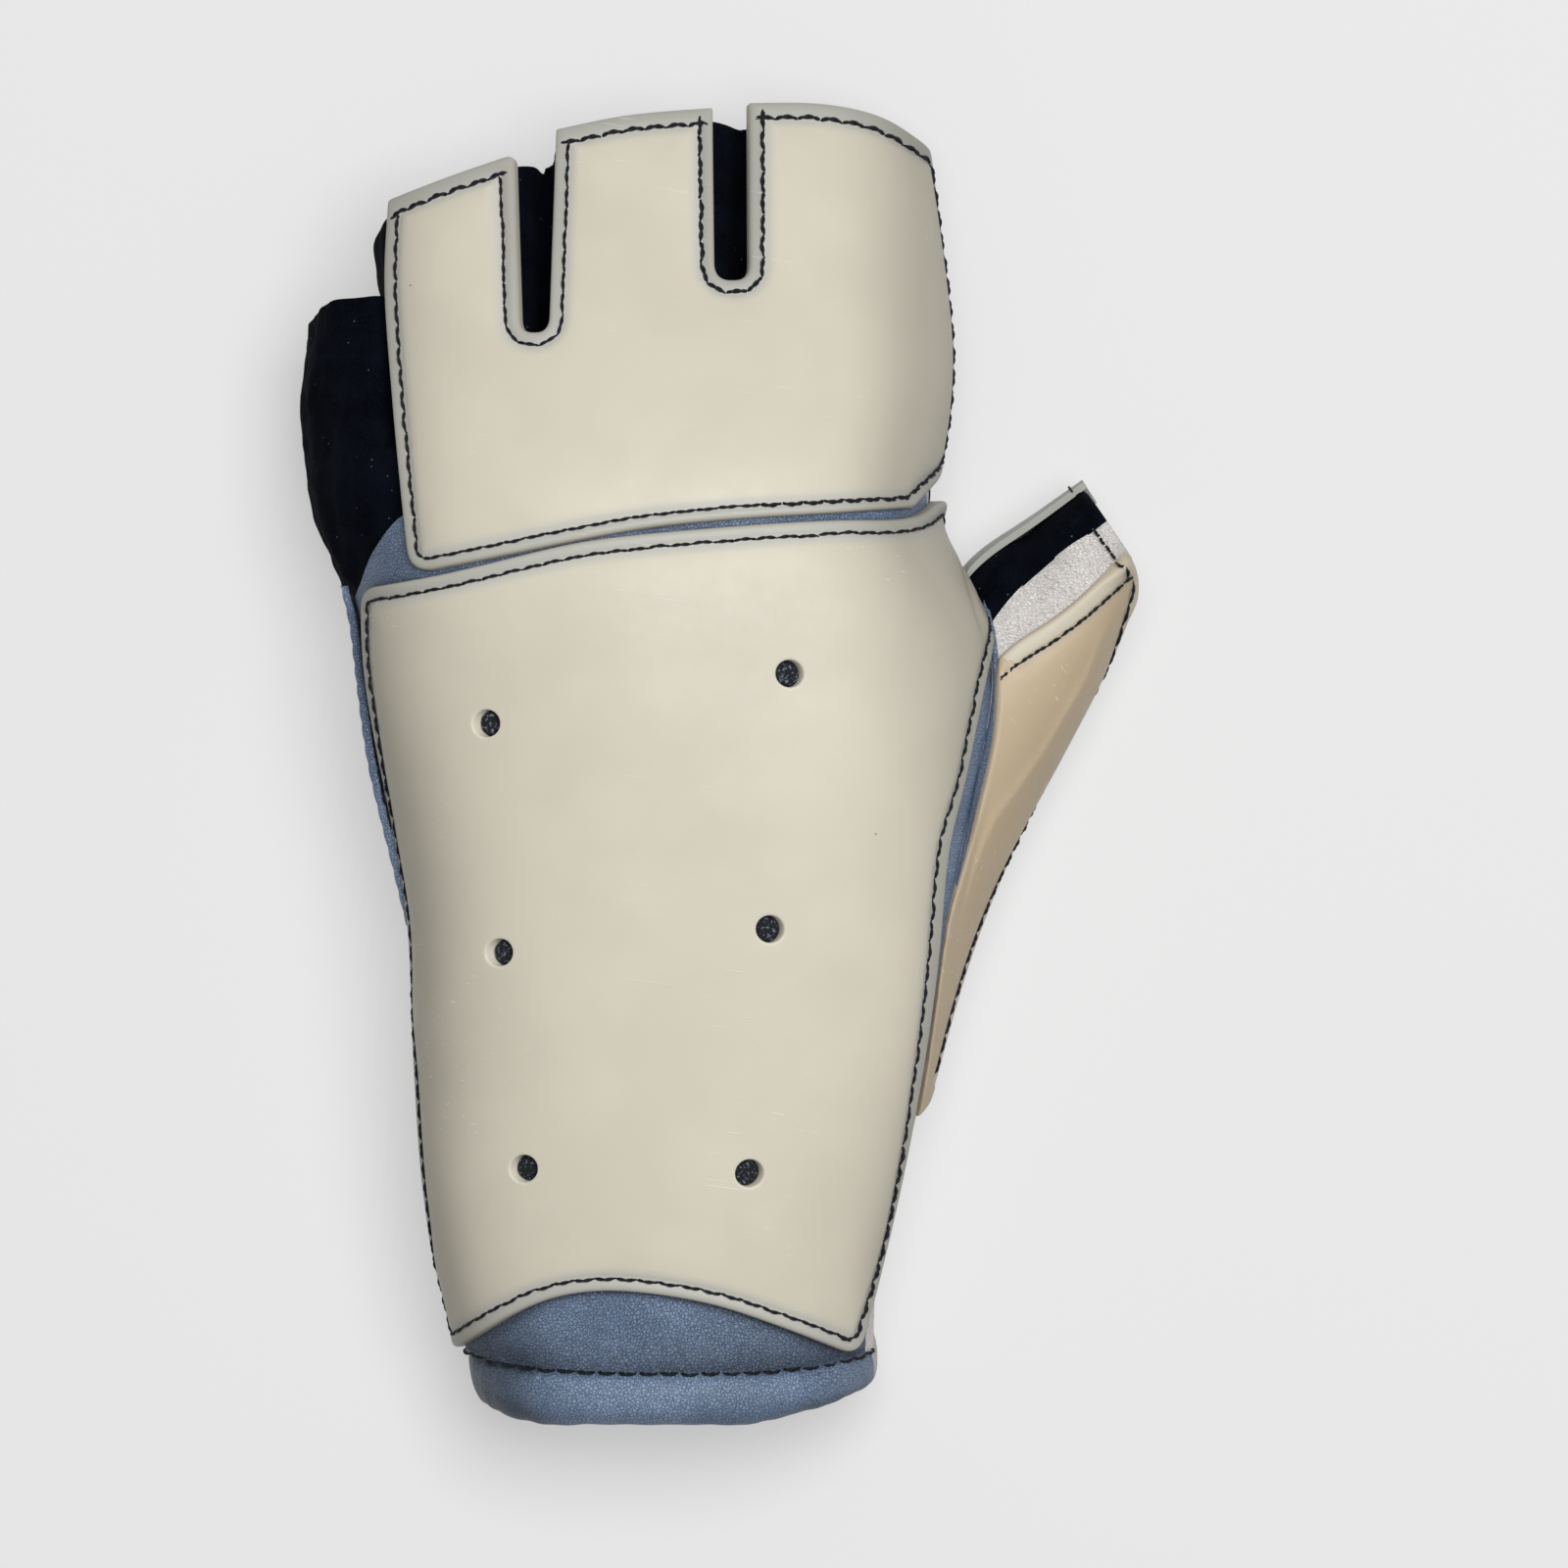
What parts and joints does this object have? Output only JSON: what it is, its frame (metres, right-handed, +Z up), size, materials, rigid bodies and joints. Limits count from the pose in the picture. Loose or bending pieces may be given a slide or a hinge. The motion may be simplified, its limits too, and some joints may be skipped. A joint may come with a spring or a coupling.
{
  "type": "shooting glove",
  "caption": "Half-finger left shooting glove: leather hand, fabric finger and thumb sleeves, padded cuff, stitched moulded plates over knuckles, back and thumb.",
  "frame": {"origin": "middle of the glove's plan on the surface that the palm rests on", "axes": "+Z up through the back of the hand, +Y along the fingers, +X to the thumb"},
  "size_m": [0.1538, 0.2433, 0.0593],
  "materials": {
    "moulded_plate": "cream moulded polyurethane, satin gloss with fine scratches",
    "thumb_plate": "tan cream moulded polyurethane, satin",
    "blue_leather": "grained grey-blue leather, semi-matt",
    "white_leather": "grained white leather, matt",
    "black_fabric": "black brushed microfibre fabric, matt",
    "lining": "dark speckled lining fabric, matt"
  },
  "bodies": {
    "root": {"back_panel": "blue_leather", "palm_panel": "white_leather", "side_welt": "blue_leather", "cuff_roll": "blue_leather", "hand_plate": "moulded_plate", "knuckle_plate": "moulded_plate", "thumb_plate": "thumb_plate", "thumb_inner_plate": "thumb_plate", "thumb_sleeve": "black_fabric", "thumb_leather": "white_leather", "vent_lining": "lining", "pinky_sleeve": "black_fabric", "ring_sleeve": "black_fabric", "middle_sleeve": "black_fabric", "index_sleeve": "black_fabric"}
  },
  "joints": []
}
